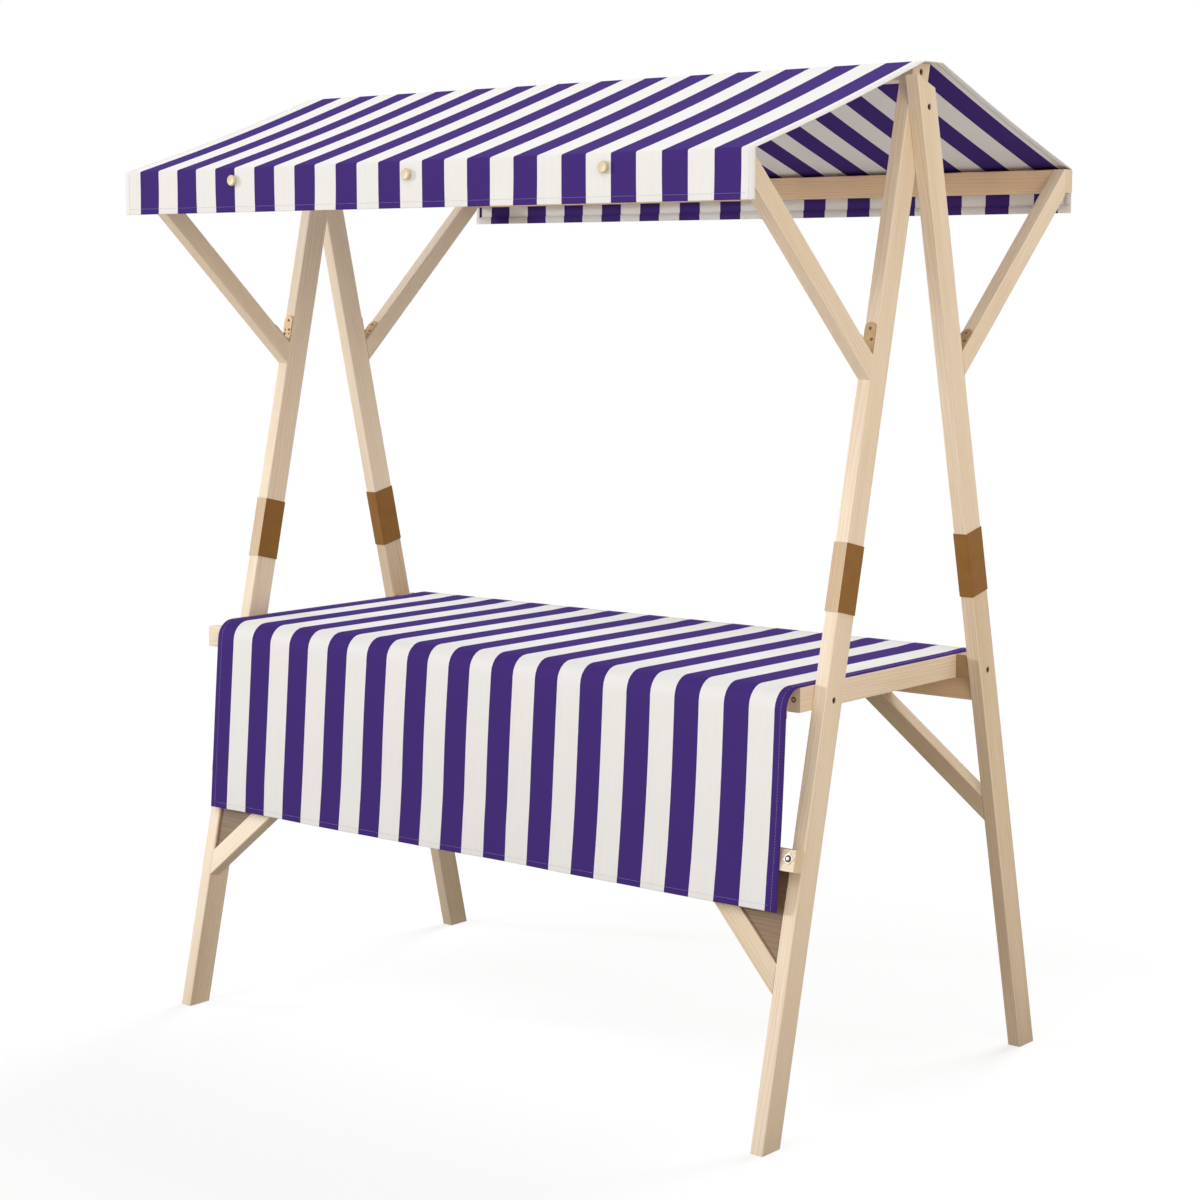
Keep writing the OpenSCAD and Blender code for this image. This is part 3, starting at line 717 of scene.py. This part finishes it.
# BUTTONS
# Turned birch buttons, three on each valance, pale and sanded smooth with a faint grain.
# Each is screwed through the canvas into the eave rail behind it.
grain_length = 0.03
grain_width = 0.0025
turned, tree, shader = new_material("turned_birch", IOR=1.5)
where = put(tree, "TexCoord", {}).outputs["Object"]
lengthwise = (1 / grain_length, 1 / grain_width, 1 / grain_width)
grain = put(tree, "Mapping", {"Vector": where, "Scale": lengthwise}).outputs[0]
figure = put(tree, "TexNoise", {"Vector": grain, "Scale": 1.0, "Detail": 3.0}).outputs["Fac"]
birch = put(tree, "Mix", {0: figure, 6: linear("#dfd2b0"), 7: linear("#c5b083")},
            data_type="RGBA").outputs[2]
sanded = put(tree, "MapRange", {"Value": figure, "To Min": 0.4, "To Max": 0.55}).outputs[0]
tree.links.new(birch, shader.inputs["Base Color"])
tree.links.new(sanded, shader.inputs["Roughness"])
for row in ROWS:
    nodes[row + "_buttons"].material_slots[0].material = turned

# COUNTER CLOTH
# A second striped canvas lies on the counter board, falls over its rounded front and hangs past the
# lower rail. It is hemmed all round.
board_low, board_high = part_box("counter_board")
drape_low, drape_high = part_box("counter_cloth")
nose_radius = 0.045
step_round = 0.02
drape_hem = drape_low.z
drape_half = drape_high.x
board_top = board_high.z
back = board_high.y
over_nose = nose_radius + clear
nose_reach = math.sqrt(nose_radius ** 2 - (nose_radius - board_top + board_low.z) ** 2)
nose_middle = Vector((board_low.y + nose_reach, board_top - nose_radius))
hem_front = drape_low.y + CLOTH_THICK
fall = math.atan2(nose_middle.x - over_nose - hem_front, nose_middle.y - drape_hem)
nose_corner = nose_middle.x - over_nose * (math.cos(fall) - (1 - math.sin(fall)) * math.tan(fall))
under = CLOTH_THICK / 2 + skin_gap
counter_line = [
    (hem_front + EDGE_FOLD, drape_hem + HEM, 0),
    (hem_front + EDGE_FOLD, drape_hem, EDGE_FOLD / 2),
    (hem_front, drape_hem, EDGE_FOLD / 2),
    (nose_corner, board_top + clear, over_nose),
    (back - 4 * HEM, board_top + clear, step_round),
    (back - 1.5 * HEM, board_top + under + EDGE_FOLD, step_round),
    (back, board_top + under + EDGE_FOLD, EDGE_FOLD / 2),
    (back, board_top + under, EDGE_FOLD / 2),
    (back - HEM, board_top + under, 0),
]


def counter_move(x, y, z):
    """Slow ripples in the hanging part, more towards the hem, and side edges a little off straight."""
    # Depths in metres, waves in radians per metre
    ripple_depth = 0.002
    slow_wave = 7.5
    quick_wave = 17
    quick_share = 0.5
    billow_depth = 0.0015
    billow_wave = 5
    left_top = 0.006
    left_flare = 0.011
    right_top = 0.002
    right_bow = 0.004
    right_taper = 0.0055
    below = clamped((rail_low.z - z) / (rail_low.z - drape_hem))
    between = math.sin(math.pi * clamped((z - rail_high.z) / (nose_middle.y - rail_high.z)))
    waves = math.sin(slow_wave * x + 0.8) + quick_share * math.sin(quick_wave * x)
    billow = billow_depth * between * (1 + math.sin(billow_wave * x + 2))
    fallen = clamped((nose_middle.y - z) / (nose_middle.y - drape_hem))
    left_out = left_top + left_flare * fallen
    right_out = right_top + right_bow * math.sin(math.pi * fallen) - right_taper * fallen
    share = (1 + x / drape_half) / 2
    return share * right_out - (1 - share) * left_out, ripple_depth * below * waves - billow, 0


counter_sheet = FoldedCloth(counter_line, drape_half, counter_move)
drape = counter_sheet.make("counter_drape")
drape.data.materials.append(striped_canvas("woven_canvas_counter", first_purple=-0.85644))
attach(drape, "root")
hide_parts("counter_cloth")
drape_stitches = stitching("counter_stitching", counter_sheet)

# STAGE
# A pale floor that turns white away from the stall and keeps its shadow, and a white surround.
# Broad lamps stand above the front, on the right and behind, with a sharper one low on the left.
# The camera stands where the photograph was taken.
bpy.ops.mesh.primitive_plane_add(size=60)
floor = bpy.context.object
floor.name = "floor"
paper = bpy.data.materials.new("white_paper")
paper.use_nodes = True
tree = paper.node_tree
tree.nodes.clear()
seen = put(tree, "LightPath", {}).outputs
spot = put(tree, "TexCoord", {}).outputs["Object"]
away = put(tree, "VectorMath", {0: spot}, operation="LENGTH").outputs["Value"]
fade = put(tree, "MapRange", {"Value": away, "From Min": 1.0, "From Max": 2.6, "To Min": 0.7},
           interpolation_type="SMOOTHSTEP").outputs[0]
far = put(tree, "MapRange", {"Value": away, "From Min": 0.9, "From Max": 2.2}).outputs[0]
lit = put(tree, "Mix", {0: far, 6: linear("#594f46"), 7: linear("#ddd8d2")}, data_type="RGBA").outputs[2]
bounce = put(tree, "BsdfDiffuse", {"Color": lit}).outputs[0]
matt = put(tree, "BsdfDiffuse", {"Color": linear("#f6f6f6")}).outputs[0]
glow = put(tree, "Emission", {"Color": (1, 1, 1, 1), "Strength": 1.0}).outputs[0]
shown = put(tree, "MixShader", {0: fade, 1: matt, 2: glow}).outputs[0]
straight = put(tree, "Math", {0: seen["Is Camera Ray"], 1: seen["Is Glossy Ray"]},
               operation="MAXIMUM").outputs[0]
either = put(tree, "MixShader", {0: straight, 1: bounce, 2: shown}).outputs[0]
put(tree, "OutputMaterial", {"Surface": either})
floor.data.materials.append(paper)
floor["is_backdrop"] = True

world = bpy.data.worlds.new("white_surround")
bpy.context.scene.world = world
world.use_nodes = True
tree = world.node_tree
tree.nodes.clear()
seen = put(tree, "LightPath", {}).outputs
mirrored = put(tree, "Math", {0: seen["Is Glossy Ray"], 1: seen["Is Transmission Ray"]},
               operation="MAXIMUM").outputs[0]
direct = put(tree, "Math", {0: seen["Is Camera Ray"], 1: mirrored}, operation="MAXIMUM").outputs[0]
warm = put(tree, "Background", {"Color": (1, 0.9, 0.79, 1), "Strength": 0.42}).outputs[0]
white = put(tree, "Background", {"Color": (1, 1, 1, 1), "Strength": 1.0}).outputs[0]
sky = put(tree, "MixShader", {0: direct, 1: warm, 2: white}).outputs[0]
put(tree, "OutputWorld", {"Surface": sky})

lamp_distance = 4
for name, towards, color, energy, spread in (
        ("key_lamp", (-0.1, -0.6, 0.8), (0.81, 0.9, 1), 1.15, 35),
        ("low_lamp", (-0.87, -0.46, 0.17), (0.9, 0.95, 1), 1.9, 10),
        ("fill_lamp", (0.8, -0.5, 0.28), (1, 0.9, 0.79), 0.9, 35),
        ("rear_lamp", (0, 0.75, 0.6), (0.88, 0.94, 1), 2.7, 35)):
    bpy.ops.object.light_add(type="SUN", location=Vector(towards) * lamp_distance)
    lamp = bpy.context.object
    lamp.name = name
    lamp.data.color = color
    lamp.data.energy = energy
    lamp.data.angle = math.radians(spread)
    lamp.rotation_euler = Vector(towards).to_track_quat("Z", "Y").to_euler()

camera_place = (3.775, -4.628, 1.778)
camera_tilt = math.radians(82.85)
camera_turn = math.radians(39.01)
bpy.ops.object.camera_add(location=camera_place, rotation=(camera_tilt, 0, camera_turn))
camera = bpy.context.object
camera.data.sensor_width = 36
camera.data.lens = 75.98
bpy.context.scene.camera = camera
bpy.context.scene.view_settings.view_transform = "Standard"

low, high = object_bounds()
